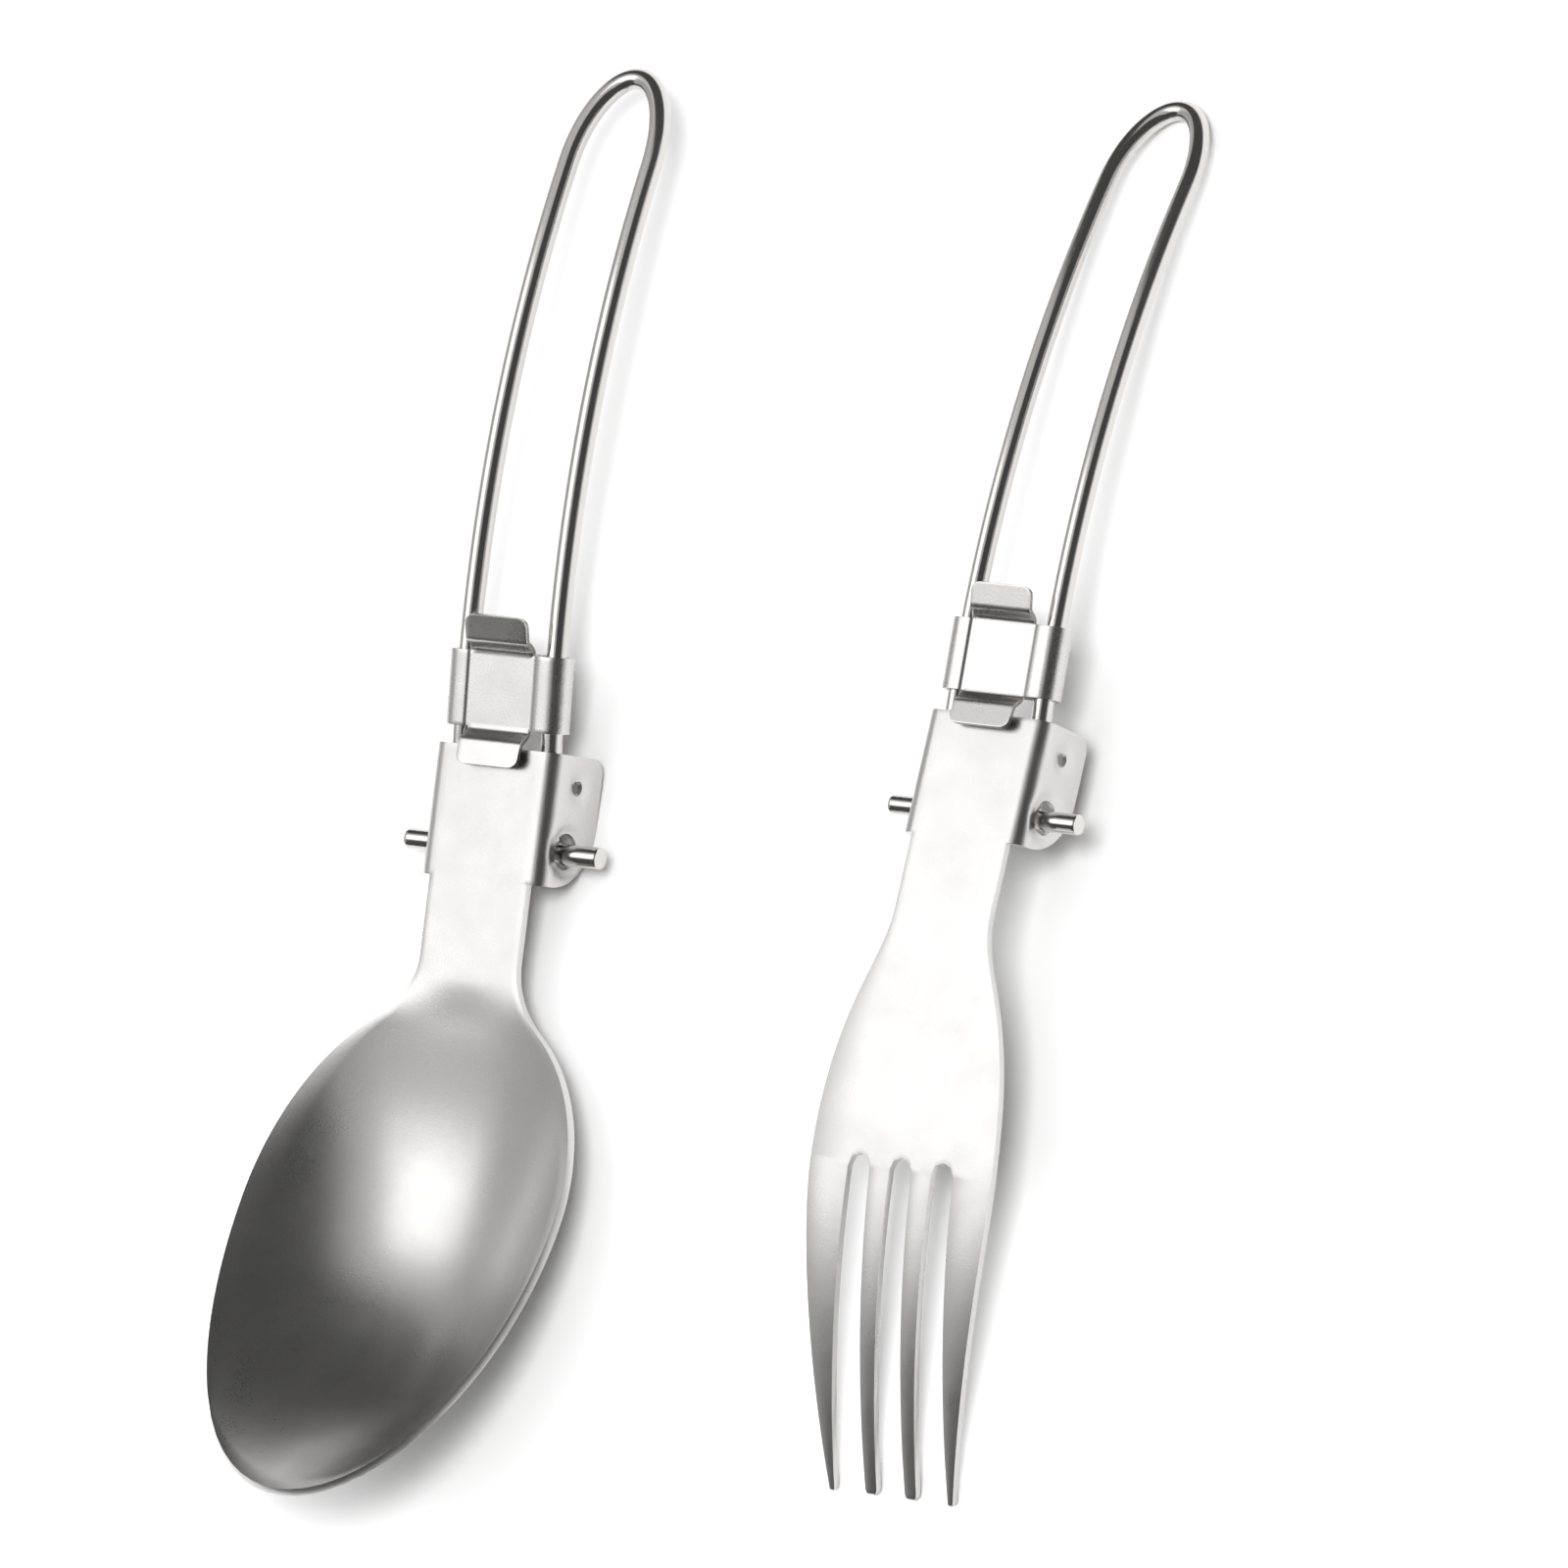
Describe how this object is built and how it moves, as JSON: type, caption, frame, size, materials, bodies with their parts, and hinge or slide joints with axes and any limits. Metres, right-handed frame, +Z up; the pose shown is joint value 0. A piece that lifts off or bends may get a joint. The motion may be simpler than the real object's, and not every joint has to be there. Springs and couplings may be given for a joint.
{
  "type": "picnic cutlery",
  "caption": "Folding spoon and fork with bent wire handles, heads that fold on the handle's pins and sliding lock sleeves.",
  "frame": {"origin": "middle of the pair's footprint, on the surface they lie on", "axes": "+Y from the eating ends to the handle ends, +Z up, spoon at -X and fork at +X, both front side up"},
  "size_m": [0.093, 0.153, 0.019],
  "materials": {
    "handle_wire": "polished stainless steel wire",
    "head_sheet": "satin bead-blasted stainless steel sheet",
    "lock_sheet": "satin stainless steel sheet"
  },
  "bodies": {
    "spoon_handle": {"spoon_handle": "handle_wire"},
    "spoon_head": {"spoon_head": "head_sheet"},
    "spoon_lock": {"spoon_lock": "lock_sheet"},
    "fork_handle": {"fork_handle": "handle_wire"},
    "fork_head": {"fork_head": "head_sheet"},
    "fork_lock": {"fork_lock": "lock_sheet"}
  },
  "joints": [
    {"name": "spoon_fold", "type": "hinge", "parent": "spoon_handle", "child": "spoon_head", "pos_m": [-0.02646, -0.0066, 0.0039], "axis": [1, 0, 0], "range_deg": [0, 175]},
    {"name": "spoon_lock_slide", "type": "hinge", "parent": "spoon_handle", "child": "spoon_lock", "pos_m": [-0.02646, 0.04069, -0.12787], "axis": [1, 0, 0], "range_deg": [-19.6, 0]},
    {"name": "fork_fold", "type": "hinge", "parent": "fork_handle", "child": "fork_head", "pos_m": [0.03503, 0.0012, 0.00887], "axis": [1, -0.0052, 0], "range_deg": [0, 165]},
    {"name": "fork_lock_slide", "type": "hinge", "parent": "fork_handle", "child": "fork_lock", "pos_m": [0.03516, 0.02512, -0.12054], "axis": [1, -0.0052, 0], "range_deg": [-18.48, 0]},
    {"name": "fork_lift", "type": "slide", "parent": "spoon_handle", "child": "fork_handle", "axis": [0, 0, 1], "range_m": [0, 0.06]}
  ],
  "couplings": [
    {"joint": "spoon_lock_slide", "follows": "spoon_fold", "ratio": -0.112},
    {"joint": "fork_lock_slide", "follows": "fork_fold", "ratio": -0.112}
  ]
}
